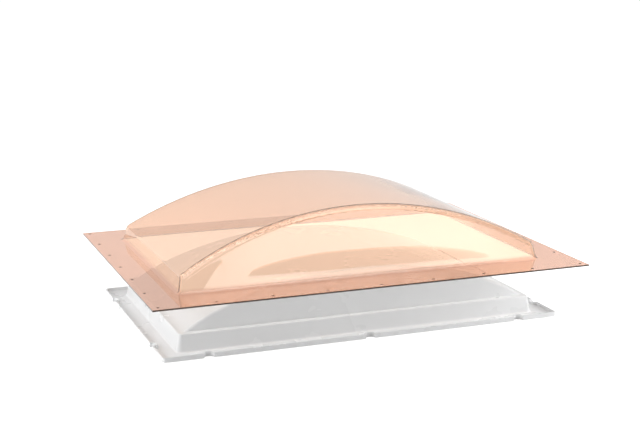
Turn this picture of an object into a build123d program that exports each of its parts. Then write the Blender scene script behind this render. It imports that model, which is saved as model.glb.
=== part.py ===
"""Low profile skylight: a see-through outer dome and a white inner dome, spaced as they sit on a roof.

Each piece is formed from one sheet. The outer dome's flange is screwed down on the roof, and the inner
dome's rim bears on the ceiling under it. The origin is on the floor below the centre of both pieces,
X runs along the long side, Y along the short side and Z up. All sizes are in millimetres, angles in degrees.
"""
from build123d import *
import os
from math import acos, cos, degrees, radians, sin, tan

# Height of the roof and ceiling that go between the two pieces
ROOF_THICKNESS = 106.0

# Outer dome: flange and screw holes
OUTER_SHEET = 3.0
OUTER_FLANGE_LENGTH = 863.6
OUTER_FLANGE_WIDTH = 609.6
SCREW_HOLE_DIAMETER = 5.5
SCREW_HOLE_INSET = 12.7
LONG_SIDE_SCREWS = 9
SHORT_SIDE_SCREWS = 7

# Outer dome: bubble, with heights above the flange's top face
BUBBLE_LENGTH = 727.4
BUBBLE_WIDTH = 455.2
BUBBLE_EAVE_HEIGHT = 31.3
BUBBLE_CROWN_HEIGHT = 127.8
BUBBLE_SHORT_SIDE_LEAN = 11.2
BUBBLE_LONG_SIDE_LEAN = 15.7
BUBBLE_RIDGE_RADIUS = 15.0
BUBBLE_SHORT_SIDE_RADIUS = 10.0
BUBBLE_FOOT_RADIUS = 7.0

# Inner dome: flange outside the wall's foot, upturned rim and the half-round bites in it
INNER_SHEET = 2.5
INNER_FLANGE_REACH = 35.0
INNER_FLANGE_CORNER_RADIUS = 7.0
RIM_HEIGHT = 9.0
BITE_RADIUS = 9.5
BITE_DEPTH = 10.0
BITE_END_INSET = 86.0
LONG_SIDE_BITES = 3
SHORT_SIDE_BITES = 2

# Inner dome: wall from the flange up to the ledge
WALL_LENGTH = 732.0
WALL_WIDTH = 418.0
WALL_TOP_HEIGHT = 36.0
WALL_LEAN = 11.0
WALL_CORNER_RADIUS = 13.0
WALL_FOOT_RADIUS = 4.0
LEDGE_WIDTH = 11.0
LEDGE_EDGE_RADIUS = 3.0

# Inner dome: vaulted top above the ledge
TOP_RISE = 88.0
TOP_SPRING_ANGLE = 34.0
TOP_JOIN_ANGLE = 20.0
TOP_LONG_SIDE_LEAN = 4.0
TOP_RIDGE_RADIUS = 6.0
TOP_SINK = 5.0

# How far a cutting solid runs past the face that it opens
CUT_THROUGH = 5.0

# Room round a feature, and above and below a flat face, when its edges are looked up
EDGE_ROOM = 1.0
HEIGHT_ROOM = 0.01

inner_flange_length = WALL_LENGTH + 2 * INNER_FLANGE_REACH
inner_flange_width = WALL_WIDTH + 2 * INNER_FLANGE_REACH
outer_flange_bottom = RIM_HEIGHT + ROOF_THICKNESS
outer_flange_top = outer_flange_bottom + OUTER_SHEET
wall_draw_in = WALL_TOP_HEIGHT * tan(radians(WALL_LEAN))
top_half_length = WALL_LENGTH / 2 - wall_draw_in - LEDGE_WIDTH
top_half_width = WALL_WIDTH / 2 - wall_draw_in - LEDGE_WIDTH


def leaning_walls(size, lean, inset, low, high):
    """Section between two walls that lean inwards, from their size apart at height zero and an inset."""
    half = size / 2 - inset / cos(radians(lean))
    low_half = half - low * tan(radians(lean))
    high_half = half - high * tan(radians(lean))
    corners = [(-low_half, low), (low_half, low), (high_half, high), (-high_half, high)]
    return make_face(Polyline(corners, close=True))


def edges_at_height(shape, height, length, width):
    """The shape's edges that lie flat at one height, within a rectangle round the origin."""
    reach_x = length / 2 + EDGE_ROOM
    reach_y = width / 2 + EDGE_ROOM
    flat = shape.edges().filter_by_position(Axis.Z, height - HEIGHT_ROOM, height + HEIGHT_ROOM)
    return flat.filter_by_position(Axis.X, -reach_x, reach_x).filter_by_position(Axis.Y, -reach_y, reach_y)


def perimeter_centres(half_length, half_width, along_length, along_width):
    """Evenly spaced points on a rectangle's sides, corners included once."""
    step_x = 2 * half_length / (along_length - 1)
    step_y = 2 * half_width / (along_width - 1)
    centres = []
    for i in range(along_length):
        x = -half_length + i * step_x
        centres += [(x, -half_width), (x, half_width)]
    for j in range(1, along_width - 1):
        y = -half_width + j * step_y
        centres += [(-half_length, y), (half_length, y)]
    return centres


def bubble_form(inset, low):
    """The bubble as a solid from height low upwards, inset all round from the sheet's outer face."""
    high = BUBBLE_CROWN_HEIGHT + CUT_THROUGH
    half_chord = BUBBLE_LENGTH / 2 - BUBBLE_EAVE_HEIGHT * tan(radians(BUBBLE_SHORT_SIDE_LEAN))
    rise = BUBBLE_CROWN_HEIGHT - BUBBLE_EAVE_HEIGHT
    vault_radius = (half_chord**2 + rise**2) / (2 * rise)
    vault = Rot(90, 0, 0) * Cylinder(vault_radius - inset, BUBBLE_WIDTH + 2 * CUT_THROUGH)
    long_sides = leaning_walls(BUBBLE_WIDTH, BUBBLE_LONG_SIDE_LEAN, inset, low, high)
    form = extrude(Plane.YZ * long_sides, BUBBLE_LENGTH, both=True)
    form &= Pos(0, 0, BUBBLE_CROWN_HEIGHT - vault_radius) * vault
    form = fillet(form.edges().filter_by(GeomType.ELLIPSE), BUBBLE_RIDGE_RADIUS - inset)
    short_sides = leaning_walls(BUBBLE_LENGTH, BUBBLE_SHORT_SIDE_LEAN, inset, low, high)
    form &= extrude(Plane.XZ * short_sides, BUBBLE_WIDTH, both=True)
    flat_faces = form.faces().filter_by(GeomType.PLANE).sort_by(Axis.X)
    rounded = []
    for face in (flat_faces[0], flat_faces[-1]):
        rounded += face.edges().filter_by_position(Axis.Z, low + EDGE_ROOM, high)
    return fillet(rounded, BUBBLE_SHORT_SIDE_RADIUS - inset)


def outer_dome():
    """The see-through dome: a flat flange with screw holes round a hollow vaulted bubble."""
    plate = Box(
        OUTER_FLANGE_LENGTH,
        OUTER_FLANGE_WIDTH,
        OUTER_SHEET,
        align=(Align.CENTER, Align.CENTER, Align.MAX),
    )
    dome = plate + bubble_form(0, 0)
    dome = fillet(edges_at_height(dome, 0, BUBBLE_LENGTH, BUBBLE_WIDTH), BUBBLE_FOOT_RADIUS)
    dome -= bubble_form(OUTER_SHEET, -OUTER_SHEET - CUT_THROUGH)
    mouth = edges_at_height(dome, -OUTER_SHEET, BUBBLE_LENGTH, BUBBLE_WIDTH)
    dome = fillet(mouth, BUBBLE_FOOT_RADIUS + OUTER_SHEET)
    hole = Cylinder(SCREW_HOLE_DIAMETER / 2, OUTER_SHEET + 2 * CUT_THROUGH)
    centres = perimeter_centres(
        OUTER_FLANGE_LENGTH / 2 - SCREW_HOLE_INSET,
        OUTER_FLANGE_WIDTH / 2 - SCREW_HOLE_INSET,
        LONG_SIDE_SCREWS,
        SHORT_SIDE_SCREWS,
    )
    dome -= [Pos(x, y, 0) * hole for x, y in centres]
    return Pos(0, 0, outer_flange_top) * dome


def bite_centres():
    """Centres of the half-round bites along the four sides of the inner dome's rim."""
    centre_inset = BITE_DEPTH - BITE_RADIUS
    side_x = inner_flange_length / 2 - centre_inset
    side_y = inner_flange_width / 2 - centre_inset
    end_x = inner_flange_length / 2 - BITE_END_INSET
    end_y = inner_flange_width / 2 - BITE_END_INSET
    centres = []
    for i in range(LONG_SIDE_BITES):
        x = -end_x + 2 * end_x * i / (LONG_SIDE_BITES - 1)
        centres += [(x, -side_y), (x, side_y)]
    for j in range(SHORT_SIDE_BITES):
        y = -end_y + 2 * end_y * j / (SHORT_SIDE_BITES - 1)
        centres += [(-side_x, y), (side_x, y)]
    return centres


def rimmed_flange():
    """The inner dome's flange: a tray whose upturned rim follows the bites."""
    outline = RectangleRounded(inner_flange_length, inner_flange_width, INNER_FLANGE_CORNER_RADIUS)
    outline -= [Pos(x, y) * Circle(BITE_RADIUS) for x, y in bite_centres()]
    floor = offset(outline, amount=-INNER_SHEET)
    tray = extrude(outline, RIM_HEIGHT)
    return tray - Pos(0, 0, INNER_SHEET) * extrude(floor, RIM_HEIGHT)


def wall_form(inset, low):
    """The drafted wall below the ledge as a solid, inset all round from the sheet's outer face."""
    low_draw_in = low * tan(radians(WALL_LEAN))
    wall_inset = inset / cos(radians(WALL_LEAN)) + low_draw_in
    outline = RectangleRounded(
        WALL_LENGTH - 2 * wall_inset,
        WALL_WIDTH - 2 * wall_inset,
        WALL_CORNER_RADIUS - inset - low_draw_in,
    )
    return extrude(Pos(0, 0, low) * outline, WALL_TOP_HEIGHT - inset - low, taper=WALL_LEAN)


def arch_radii():
    """Radii of the vaulted top's three-centred arch: its crown arc and its two end arcs."""
    join = radians(TOP_JOIN_ANGLE)
    spring = radians(TOP_SPRING_ANGLE)
    join_span, end_span = sin(join), sin(spring) - sin(join)
    join_drop, end_drop = 1 - cos(join), cos(join) - cos(spring)
    spread = join_span * end_drop - end_span * join_drop
    crown_radius = (top_half_length * end_drop - TOP_RISE * end_span) / spread
    end_radius = (TOP_RISE * join_span - top_half_length * join_drop) / spread
    return crown_radius, end_radius


def arch_point(angle, inset):
    """A point (x, z) of the arch, turned by an angle from its crown and inset from its outer face."""
    crown_radius, end_radius = arch_radii()
    radius = crown_radius
    centre_x, centre_z = 0, WALL_TOP_HEIGHT + TOP_RISE - crown_radius
    if abs(angle) > TOP_JOIN_ANGLE:
        radius = end_radius
        shift = crown_radius - end_radius
        centre_x = shift * sin(radians(TOP_JOIN_ANGLE)) * (1 if angle > 0 else -1)
        centre_z += shift * cos(radians(TOP_JOIN_ANGLE))
    turn = radians(angle)
    return centre_x + (radius - inset) * sin(turn), centre_z + (radius - inset) * cos(turn)


def top_profile(inset):
    """Section of the vaulted top across the long side, run down a little way below the ledge."""
    end_radius = arch_radii()[1]
    foot = degrees(acos(cos(radians(TOP_SPRING_ANGLE)) - TOP_SINK / end_radius))
    join = TOP_JOIN_ANGLE
    halfway = (join + foot) / 2
    arcs = [(-foot, -halfway, -join), (-join, 0, join), (join, halfway, foot)]
    arch = [ThreePointArc(*[arch_point(angle, inset) for angle in angles]) for angles in arcs]
    return make_face(arch + [Line(arch_point(foot, inset), arch_point(-foot, inset))])


def top_form(inset):
    """The vaulted top above the ledge as a solid, inset all round from the sheet's outer face."""
    low = WALL_TOP_HEIGHT - TOP_SINK - inset
    high = WALL_TOP_HEIGHT + TOP_RISE + CUT_THROUGH
    foot_width = 2 * (top_half_width + WALL_TOP_HEIGHT * tan(radians(TOP_LONG_SIDE_LEAN)))
    long_sides = leaning_walls(foot_width, TOP_LONG_SIDE_LEAN, inset, low, high)
    form = extrude(Plane.YZ * long_sides, WALL_LENGTH, both=True)
    form &= extrude(Plane.XZ * top_profile(inset), WALL_WIDTH, both=True)
    return fillet(form.edges().filter_by(GeomType.ELLIPSE), TOP_RIDGE_RADIUS - inset)


def inner_dome():
    """The white dome: a rimmed flange round a drafted wall, a ledge and a hollow vaulted top."""
    wall = wall_form(0, 0)
    wall = fillet(edges_at_height(wall, WALL_TOP_HEIGHT, WALL_LENGTH, WALL_WIDTH), LEDGE_EDGE_RADIUS)
    dome = rimmed_flange() + wall
    dome = fillet(edges_at_height(dome, INNER_SHEET, WALL_LENGTH, WALL_WIDTH), WALL_FOOT_RADIUS)
    dome += top_form(0)
    dome -= wall_form(INNER_SHEET, -CUT_THROUGH) + top_form(INNER_SHEET)
    mouth = edges_at_height(dome, 0, WALL_LENGTH, WALL_WIDTH)
    return fillet(mouth, WALL_FOOT_RADIUS + INNER_SHEET)


def main():
    """Writes one STEP file for each piece."""
    os.makedirs("parts", exist_ok=True)
    export_step(outer_dome(), "parts/outer_dome.step")
    export_step(inner_dome(), "parts/inner_dome.step")


main()
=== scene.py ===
"""Studio scene of the low profile skylight: a bronze see-through outer dome over a white inner dome."""
import math

import bpy
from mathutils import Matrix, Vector

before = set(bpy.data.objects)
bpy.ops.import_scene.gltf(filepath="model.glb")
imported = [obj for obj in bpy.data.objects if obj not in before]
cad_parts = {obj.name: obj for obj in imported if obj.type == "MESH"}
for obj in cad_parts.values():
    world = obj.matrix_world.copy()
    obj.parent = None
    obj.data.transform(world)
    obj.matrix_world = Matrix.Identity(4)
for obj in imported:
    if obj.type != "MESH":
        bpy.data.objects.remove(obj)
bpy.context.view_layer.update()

# Camera, in metres and degrees, with the lens for a 36 mm wide sensor
CAMERA_PLACE = (-0.944, -2.443, 0.7746)
CAMERA_TURN = 20.93
CAMERA_DIP = 12.63
CAMERA_LENS = 74.84
CAMERA_SHIFT_X = 0.0005
CAMERA_REACH = 200

# Backdrop: how bright the camera, glass and gloss see it, and the fill that lights the object
BACKDROP_LEVELS = (1.0, 1.0, 1.0)
BACKDROP_FILL = 0.30

# Floor: its size and colour, and the lift towards white for the camera, glass and gloss
FLOOR_HALF = 40.0
FLOOR_DROP = 0.0005
FLOOR_WHITE = (0.9, 0.9, 0.9, 1.0)
FLOOR_LIFTS = (0.64, 0.15, 0.40)

# Soft lamps: place, spot aimed at, size in metres, power in watts, and whether gloss shows them
SOFT_LAMPS = {
    "left_softbox": ((-2.2, 0.0, 0.9), (-0.3, 0.0, 0.05), (1.6, 1.1), 28, False),
    "right_softbox": ((1.3, -0.8, 0.5), (0.3, 0.0, 0.05), (0.5, 0.5), 11, False),
    "strip_softbox": ((0.0, -0.2, 2.2), (0.0, 0.0, 0.2), (4.0, 0.3), 16, True),
}
OVERHEAD_POWER = 0.6
OVERHEAD_SPREAD = 60

# Lit card in front of the object, in metres, with its brightness and its dimmer ends
CARD_Y = -2.9
CARD_X = (0.2, 2.4)
CARD_Z = (0.78, 1.45)
CARD_COLUMNS = 110
CARD_GLOW = 4.6
CARD_LEFT_FADE = (0.3, 0.7)
CARD_LEFT_SHARE = 0.6
CARD_RIGHT_FADE = (1.65, 2.1)
CARD_RIGHT_SHARE = 0.4

# Dark patch at the card's left: its two right-hand corners, as X and Z
PATCH_LOW = (0.40, 0.82)
PATCH_HIGH = (0.534, 0.985)

# Dark lens in the card: its ends in X, the height of its lower edge there, its rise and its tips' shape
LENS_X = (0.62, 1.70)
LENS_LOW = (0.888, 0.876)
LENS_RISE = 0.165
LENS_TIPS = (0.5, 0.6)

# Grid of thin upright blades before the lower card, as bright as the backdrop: the spot that all of them
# point at, as X and Y, the distance between two, their depth and their brightness
GRID_SPOT = (-0.944, 2.005)
GRID_PITCH = 0.004
GRID_DEPTH = 0.025
GRID_LEVEL = 0.8

# Lit ceiling over the card, which has no grid: its ends in X, and its front and back edge as Y and Z
CEILING_X = (-2.0, 3.5)
CEILING_FRONT = (-2.9, 2.9)
CEILING_BACK = (-1.2, 3.4)

# Both sheets are acrylic
SHEET_IOR = 1.49

# Faint haze on a sheet: the size of its patches, and the part of the noise that it runs over
HAZE_SIZE = 3.0
HAZE_RANGE = (0.35, 0.75)

# Bronze tint of the sheet: deepest in the flange, paler where the bubble was stretched thin
FLANGE_BRONZE = (0.81, 0.46, 0.325, 1.0)
BUBBLE_BRONZE = (0.985, 0.665, 0.48, 1.0)

# Heights over the flange's lower face, in metres: just past its upper face, and where the paler tint starts
FLANGE_DEPTH = 0.0035
BUBBLE_FOOT = 0.012

# What a second bubble wall or flange adds behind the first sheet
FAR_BUBBLE_BRONZE = (0.98, 0.88, 0.83, 1.0)
FAR_FLANGE_BRONZE = (0.76, 0.66, 0.61, 1.0)
FIRST_SHEET_DEPTH = 1.5

# Share of a lamp's light that each sheet passes
FLANGE_LAMP = (0.68, 0.67, 0.66, 1.0)
BUBBLE_LAMP = (0.99, 0.985, 0.975, 1.0)

# Sawn edges and drilled holes show the tint through the depth of the sheet
EDGE_BRONZE = (0.15, 0.085, 0.055, 1.0)
EDGE_SLOPE = 0.5

# Painted glow: the sheet emits a faint bronze light on rays that have bounced in it more than this often,
# standing in for light that is trapped in the sheet and comes out at its folds and edges
PAINTED_GLOW_BRONZE = (0.62, 0.36, 0.24, 1.0)
PAINTED_GLOW_STRENGTH = 0.07
TRAPPED_BOUNCES = 2.5

# Share of clear sheet over faintly milky sheet, at each of its two faces
BRONZE_CLARITY = 0.97
BRONZE_ROUGHNESS = (0.0, 0.03)

WHITE = (0.90, 0.905, 0.91, 1.0)
WHITE_DULL = (0.865, 0.87, 0.875, 1.0)
WHITE_ROUGHNESS = (0.22, 0.34)

# Painted glow: seen through the bronze sheet, most of the white sheet's lit colour is swapped for an even
# emitted white, about as bright as the white behind it
SEEN_THROUGH_SHARE = 0.85
SEEN_THROUGH_GLOW = 0.73
NO_COLOUR = (0.0, 0.0, 0.0, 1.0)
FULL_WHITE = (1.0, 1.0, 1.0, 1.0)

# Folds in the mesh sharper than this stay crisp, and points nearer than this are one
CREASE_ANGLE = 40.0
WELD = 0.00001

# Places of the colour sockets in a Mix node
MIX_FIRST = 6
MIX_SECOND = 7
MIX_RESULT = 2


def new_material(name):
    """An empty node material with its output node."""
    material = bpy.data.materials.new(name)
    material.use_nodes = True
    tree = material.node_tree
    tree.nodes.clear()
    return material, tree, tree.nodes.new("ShaderNodeOutputMaterial")


def feed(tree, value, socket):
    """Wires a socket into another, or writes a plain value on it."""
    if isinstance(value, bpy.types.NodeSocket):
        tree.links.new(value, socket)
    else:
        socket.default_value = value


def add(tree, kind, **inputs):
    """A node with its inputs by name, each a socket or a plain value."""
    node = tree.nodes.new(kind)
    for name, value in inputs.items():
        feed(tree, value, node.inputs[name.replace("_", " ")])
    return node


def calculate(tree, operation, *values):
    """The result of a sum on sockets or plain numbers."""
    node = tree.nodes.new("ShaderNodeMath")
    node.operation = operation
    for value, socket in zip(values, node.inputs):
        feed(tree, value, socket)
    return node.outputs[0]


def blend(tree, share, first, second):
    """The colour that is a share of the way from the first to the second."""
    node = tree.nodes.new("ShaderNodeMix")
    node.data_type = "RGBA"
    feed(tree, share, node.inputs[0])
    feed(tree, first, node.inputs[MIX_FIRST])
    feed(tree, second, node.inputs[MIX_SECOND])
    return node.outputs[MIX_RESULT]


def rescale(tree, value, given, wanted=(0.0, 1.0)):
    """A value that runs over the wanted range while the one put in runs over the given range."""
    node = add(tree, "ShaderNodeMapRange", Value=value)
    for name, number in zip(("From Min", "From Max", "To Min", "To Max"), (*given, *wanted)):
        node.inputs[name].default_value = number
    return node.outputs["Result"]


def split(tree, vector):
    """The X, Y and Z of a vector."""
    return add(tree, "ShaderNodeSeparateXYZ", Vector=vector).outputs


def mix_shaders(tree, share, first, second):
    """The shader that is a share of the way from the first to the second."""
    mix = add(tree, "ShaderNodeMixShader", Fac=share)
    tree.links.new(first.outputs[0], mix.inputs[1])
    tree.links.new(second.outputs[0], mix.inputs[2])
    return mix


def formed_sheet_group():
    """Surface of a heat-formed sheet: slow waves, fine pebble, and a mask of faint haze."""
    tree = bpy.data.node_groups.new("formed_sheet", "ShaderNodeTree")
    for name in ("Wave Size", "Wave Height", "Pebble Size", "Pebble Height"):
        tree.interface.new_socket(name, in_out="INPUT", socket_type="NodeSocketFloat")
    for name in ("Height", "Haze"):
        tree.interface.new_socket(name, in_out="OUTPUT", socket_type="NodeSocketFloat")
    given = tree.nodes.new("NodeGroupInput").outputs
    made = tree.nodes.new("NodeGroupOutput")
    place = add(tree, "ShaderNodeTexCoord").outputs["Object"]
    waves = add(
        tree, "ShaderNodeTexNoise", Vector=place, Scale=given["Wave Size"], Detail=1.0, Roughness=0.4
    )
    pebble = add(
        tree, "ShaderNodeTexNoise", Vector=place, Scale=given["Pebble Size"], Detail=2.0, Roughness=0.5
    )
    wave_height = calculate(tree, "MULTIPLY", waves.outputs["Fac"], given["Wave Height"])
    height = calculate(tree, "MULTIPLY_ADD", pebble.outputs["Fac"], given["Pebble Height"], wave_height)
    tree.links.new(height, made.inputs["Height"])
    haze = add(tree, "ShaderNodeTexNoise", Vector=place, Scale=HAZE_SIZE, Detail=5.0, Roughness=0.65)
    tree.links.new(rescale(tree, haze.outputs["Fac"], HAZE_RANGE), made.inputs["Haze"])
    return tree


def formed_surface(tree, group, **sizes):
    """The group placed in a material with its own sizes: its haze, and its height as a normal."""
    surface = tree.nodes.new("ShaderNodeGroup")
    surface.node_tree = group
    for name, size in sizes.items():
        surface.inputs[name.replace("_", " ").title()].default_value = size
    bump = add(tree, "ShaderNodeBump", Distance=1.0, Height=surface.outputs["Height"])
    return surface.outputs["Haze"], bump.outputs["Normal"]


def bronze_colour(tree, height, flange_foot, in_flange, path):
    """Tint by height, a paler one for each sheet behind the first, and a deep one on cut edges."""
    stretch = rescale(tree, height, (flange_foot + FLANGE_DEPTH, flange_foot + BUBBLE_FOOT))
    near = blend(tree, stretch, FLANGE_BRONZE, BUBBLE_BRONZE)
    far = blend(tree, in_flange, FAR_BUBBLE_BRONZE, FAR_FLANGE_BRONZE)
    behind = calculate(tree, "GREATER_THAN", path["Transmission Depth"], FIRST_SHEET_DEPTH)
    facing = split(tree, add(tree, "ShaderNodeNewGeometry").outputs["True Normal"])
    steepness = calculate(tree, "ABSOLUTE", facing["Z"])
    upright = calculate(tree, "LESS_THAN", steepness, EDGE_SLOPE)
    on_edge = calculate(tree, "MULTIPLY", upright, in_flange)
    return blend(tree, on_edge, blend(tree, behind, near, far), EDGE_BRONZE)


def bronze_sheet(formed, flange_foot):
    """Clear polished sheet with a bronze tint and a faint painted glow at its folds and edges, for a dome
    whose flange starts at a height.
    """
    material, tree, output = new_material("bronze_sheet")
    haze, normal = formed_surface(
        tree, formed, wave_size=5.0, wave_height=0.0002, pebble_size=600.0, pebble_height=0.0
    )
    height = split(tree, add(tree, "ShaderNodeTexCoord").outputs["Object"])["Z"]
    in_flange = calculate(tree, "LESS_THAN", height, flange_foot + FLANGE_DEPTH)
    path = add(tree, "ShaderNodeLightPath").outputs
    # Rays that have bounced in the sheet more than a few times get the painted bronze glow
    trapped = calculate(tree, "GREATER_THAN", path["Glossy Depth"], TRAPPED_BOUNCES)
    sheet = add(
        tree,
        "ShaderNodeBsdfPrincipled",
        Base_Color=bronze_colour(tree, height, flange_foot, in_flange, path),
        Roughness=rescale(tree, haze, (0.0, 1.0), BRONZE_ROUGHNESS),
        IOR=SHEET_IOR,
        Transmission_Weight=BRONZE_CLARITY,
        Emission_Color=PAINTED_GLOW_BRONZE,
        Emission_Strength=calculate(tree, "MULTIPLY", trapped, PAINTED_GLOW_STRENGTH),
        Normal=normal,
    )
    lamp_tint = blend(tree, in_flange, BUBBLE_LAMP, FLANGE_LAMP)
    passing = add(tree, "ShaderNodeBsdfTransparent", Color=lamp_tint)
    lamp_light = calculate(tree, "MAXIMUM", path["Is Shadow Ray"], path["Is Diffuse Ray"])
    mix = mix_shaders(tree, lamp_light, sheet, passing)
    tree.links.new(mix.outputs[0], output.inputs["Surface"])
    return material


def white_sheet(formed):
    """Opaque white formed sheet with a soft gloss, and a painted glow where it is seen through the bronze
    sheet.
    """
    material, tree, output = new_material("white_sheet")
    haze, normal = formed_surface(
        tree, formed, wave_size=6.0, wave_height=0.0005, pebble_size=1400.0, pebble_height=0.00002
    )
    path = add(tree, "ShaderNodeLightPath").outputs
    # Painted glow: on rays that come through the bronze sheet, most of the base colour gives way to emitted
    # white, which hides the sheet's shading
    share = calculate(tree, "MULTIPLY", path["Is Transmission Ray"], SEEN_THROUGH_SHARE)
    sheet = add(
        tree,
        "ShaderNodeBsdfPrincipled",
        Base_Color=blend(tree, share, blend(tree, haze, WHITE, WHITE_DULL), NO_COLOUR),
        Roughness=rescale(tree, haze, (0.0, 1.0), WHITE_ROUGHNESS),
        IOR=SHEET_IOR,
        Emission_Color=FULL_WHITE,
        Emission_Strength=calculate(tree, "MULTIPLY", share, SEEN_THROUGH_GLOW),
        Normal=normal,
    )
    tree.links.new(sheet.outputs[0], output.inputs["Surface"])
    return material


def smooth_nodes():
    """A geometry node tree that welds the faces of a sheet and smooths all but its sharp folds."""
    tree = bpy.data.node_groups.new("weld_and_smooth", "GeometryNodeTree")
    for side in ("INPUT", "OUTPUT"):
        tree.interface.new_socket("Geometry", in_out=side, socket_type="NodeSocketGeometry")
    given = tree.nodes.new("NodeGroupInput")
    made = tree.nodes.new("NodeGroupOutput")
    bare = add(tree, "GeometryNodeRemoveAttribute", Geometry=given.outputs[0], Name="custom_normal")
    weld = add(tree, "GeometryNodeMergeByDistance", Geometry=bare.outputs["Geometry"], Distance=WELD)
    faces = add(tree, "GeometryNodeSetShadeSmooth", Geometry=weld.outputs["Geometry"])
    angle = tree.nodes.new("GeometryNodeInputMeshEdgeAngle").outputs["Unsigned Angle"]
    gentle = tree.nodes.new("FunctionNodeCompare")
    gentle.operation = "LESS_THAN"
    feed(tree, angle, gentle.inputs[0])
    feed(tree, math.radians(CREASE_ANGLE), gentle.inputs[1])
    folds = add(
        tree,
        "GeometryNodeSetShadeSmooth",
        Geometry=faces.outputs["Geometry"],
        Shade_Smooth=gentle.outputs["Result"],
    )
    folds.domain = "EDGE"
    tree.links.new(folds.outputs["Geometry"], made.inputs[0])
    return tree


def finish_piece(piece, material, smooth):
    """Gives a CAD piece its finish and even shading."""
    for slot in piece.material_slots:
        slot.material = material
    welded = piece.modifiers.new("weld_and_smooth", "NODES")
    welded.node_group = smooth
    weighted = piece.modifiers.new("even_normals", "WEIGHTED_NORMAL")
    weighted.mode = "FACE_AREA_WITH_ANGLE"
    weighted.keep_sharp = True


def lowest(piece):
    """Height of a piece's lowest point, in its own axes."""
    return min(corner[2] for corner in piece.bound_box)


def new_object(name, data):
    """An object in the scene."""
    made = bpy.data.objects.new(name, data)
    bpy.context.scene.collection.objects.link(made)
    return made


def seen_light(tree, levels):
    """A strength for what the camera, glass and gloss see, and none for what lights a surface."""
    path = add(tree, "ShaderNodeLightPath").outputs
    kinds = ("Is Camera Ray", "Is Transmission Ray", "Is Glossy Ray")
    strengths = [calculate(tree, "MULTIPLY", path[kind], level) for kind, level in zip(kinds, levels)]
    camera, glass, gloss = strengths
    return calculate(tree, "MAXIMUM", calculate(tree, "MAXIMUM", camera, glass), gloss)


def floor():
    """A plain white floor that keeps the shadow."""
    mesh = bpy.data.meshes.new("floor")
    h = FLOOR_HALF
    mesh.from_pydata([(-h, -h, 0), (h, -h, 0), (h, h, 0), (-h, h, 0)], [], [(0, 1, 2, 3)])
    plane = new_object("floor", mesh)
    plane.location.z = -FLOOR_DROP
    material, tree, output = new_material("floor_white")
    lit = add(tree, "ShaderNodeBsdfDiffuse", Color=FLOOR_WHITE)
    glow = add(tree, "ShaderNodeEmission", Strength=seen_light(tree, FLOOR_LIFTS))
    both = tree.nodes.new("ShaderNodeAddShader")
    tree.links.new(lit.outputs[0], both.inputs[0])
    tree.links.new(glow.outputs[0], both.inputs[1])
    tree.links.new(both.outputs[0], output.inputs["Surface"])
    mesh.materials.append(material)


def backdrop():
    """White all round for the camera, glass and gloss, and a softer fill for everything else."""
    world = bpy.data.worlds.new("studio")
    bpy.context.scene.world = world
    world.use_nodes = True
    tree = world.node_tree
    tree.nodes.clear()
    strength = calculate(tree, "MAXIMUM", seen_light(tree, BACKDROP_LEVELS), BACKDROP_FILL)
    shown = add(tree, "ShaderNodeBackground", Strength=strength)
    output = tree.nodes.new("ShaderNodeOutputWorld")
    tree.links.new(shown.outputs[0], output.inputs["Surface"])


def dark_gap(x):
    """Lower and upper edge of what stays dark in the card at x: the left patch, or else the lens."""
    if x <= PATCH_LOW[0]:
        return CARD_Z[0], PATCH_HIGH[1]
    if x < PATCH_HIGH[0]:
        share = (x - PATCH_LOW[0]) / (PATCH_HIGH[0] - PATCH_LOW[0])
        return PATCH_LOW[1] + share * (PATCH_HIGH[1] - PATCH_LOW[1]), PATCH_HIGH[1]
    along = (x - LENS_X[0]) / (LENS_X[1] - LENS_X[0])
    low = LENS_LOW[0] + along * (LENS_LOW[1] - LENS_LOW[0])
    inside = min(max(along, 0.0), 1.0)
    return low, low + LENS_RISE * inside ** LENS_TIPS[0] * (1 - inside) ** LENS_TIPS[1]


def card_mesh():
    """The card in upright strips above and below what stays dark, and the ceiling over it."""
    quads = []
    step = (CARD_X[1] - CARD_X[0]) / CARD_COLUMNS
    for i in range(CARD_COLUMNS):
        left = CARD_X[0] + i * step
        right = left + step
        low_left, high_left = dark_gap(left)
        low_right, high_right = dark_gap(right)
        under = (CARD_Z[0], CARD_Z[0], low_right, low_left)
        over = (high_left, high_right, CARD_Z[1], CARD_Z[1])
        for heights in (under, over):
            quads.append([(x, CARD_Y, z) for x, z in zip((left, right, right, left), heights)])
    front = [(x, *CEILING_FRONT) for x in CEILING_X]
    back = [(x, *CEILING_BACK) for x in reversed(CEILING_X)]
    quads.append(front + back)
    points = [point for quad in quads for point in quad]
    faces = [tuple(range(start, start + 4)) for start in range(0, len(points), 4)]
    mesh = bpy.data.meshes.new("glow_card")
    mesh.from_pydata(points, [], faces)
    return mesh


def card_light():
    """Light of the card, for gloss only, and dimmer at both ends."""
    material, tree, output = new_material("card_light")
    place = split(tree, add(tree, "ShaderNodeTexCoord").outputs["Object"])
    left_fade = rescale(tree, place["X"], CARD_LEFT_FADE, (CARD_LEFT_SHARE, 1.0))
    right_fade = rescale(tree, place["X"], CARD_RIGHT_FADE, (1.0, CARD_RIGHT_SHARE))
    fades = calculate(tree, "MULTIPLY", left_fade, right_fade)
    glow = add(tree, "ShaderNodeEmission", Strength=calculate(tree, "MULTIPLY", fades, CARD_GLOW))
    clear = tree.nodes.new("ShaderNodeBsdfTransparent")
    path = add(tree, "ShaderNodeLightPath").outputs
    mix = mix_shaders(tree, path["Is Glossy Ray"], clear, glow)
    tree.links.new(mix.outputs[0], output.inputs["Surface"])
    return material


def glow_card():
    """A card that only gloss sees, whose reflection is the cream field on the bubble's front."""
    mesh = card_mesh()
    mesh.materials.append(card_light())
    new_object("glow_card", mesh)


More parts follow.
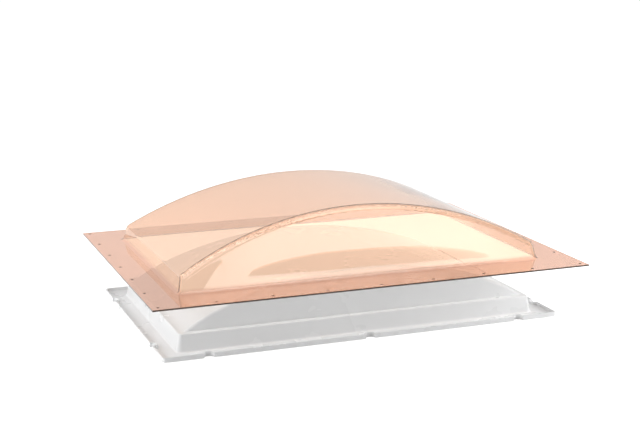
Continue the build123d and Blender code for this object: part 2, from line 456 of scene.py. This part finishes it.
def grid_mesh():
    """Upright blades in front of the lower card, each turned towards the grid's spot."""
    points = []
    for i in range(round((CARD_X[1] - CARD_X[0]) / GRID_PITCH) + 1):
        x = CARD_X[0] + i * GRID_PITCH
        front = x + GRID_DEPTH * (GRID_SPOT[0] - x) / (GRID_SPOT[1] - CARD_Y)
        for z in (CARD_Z[0] - GRID_DEPTH, CARD_Z[1]):
            points += [(x, CARD_Y, z), (front, CARD_Y + GRID_DEPTH, z)]
    faces = [(start, start + 1, start + 3, start + 2) for start in range(0, len(points), 4)]
    mesh = bpy.data.meshes.new("card_grid")
    mesh.from_pydata(points, [], faces)
    return mesh


def card_grid():
    """A grid that lets the card's light out to the bubble's front, and that only gloss and glass see."""
    material, tree, output = new_material("grid_blades")
    material.cycles.emission_sampling = "NONE"
    shown = add(tree, "ShaderNodeEmission", Strength=GRID_LEVEL)
    tree.links.new(shown.outputs[0], output.inputs["Surface"])
    mesh = grid_mesh()
    mesh.materials.append(material)
    grid = new_object("card_grid", mesh)
    for kind in ("camera", "diffuse", "volume_scatter", "shadow"):
        setattr(grid, "visible_" + kind, False)


def hide_from_sheets(lamp):
    """Keeps a lamp's own outline out of gloss and glass."""
    lamp.visible_glossy = False
    lamp.visible_transmission = False


def soft_lamp(name, place, aim, size, power, in_gloss):
    """A rectangular studio lamp that points at a spot, shown or hidden in gloss."""
    data = bpy.data.lights.new(name, "AREA")
    data.shape = "RECTANGLE"
    data.size, data.size_y = size
    data.energy = power
    lamp = new_object(name, data)
    lamp.location = place
    lamp.rotation_euler = (Vector(aim) - Vector(place)).to_track_quat("-Z", "Y").to_euler()
    if not in_gloss:
        hide_from_sheets(lamp)


def overhead_lamp():
    """A wide even light from straight above."""
    data = bpy.data.lights.new("overhead", "SUN")
    data.energy = OVERHEAD_POWER
    data.angle = math.radians(OVERHEAD_SPREAD)
    hide_from_sheets(new_object("overhead", data))


def camera():
    """The camera at the photograph's angle."""
    data = bpy.data.cameras.new("camera")
    data.lens = CAMERA_LENS
    data.shift_x = CAMERA_SHIFT_X
    data.clip_end = CAMERA_REACH
    view = new_object("camera", data)
    view.location = CAMERA_PLACE
    view.rotation_euler = (math.radians(90 - CAMERA_DIP), 0, -math.radians(CAMERA_TURN))
    bpy.context.scene.camera = view


outer_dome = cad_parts["outer_dome"]
inner_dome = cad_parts["inner_dome"]
formed = formed_sheet_group()
smooth = smooth_nodes()
finish_piece(outer_dome, bronze_sheet(formed, lowest(outer_dome)), smooth)
finish_piece(inner_dome, white_sheet(formed), smooth)
floor()
backdrop()
for name, settings in SOFT_LAMPS.items():
    soft_lamp(name, *settings)
overhead_lamp()
glow_card()
card_grid()
camera()
bpy.context.scene.view_settings.view_transform = "Standard"
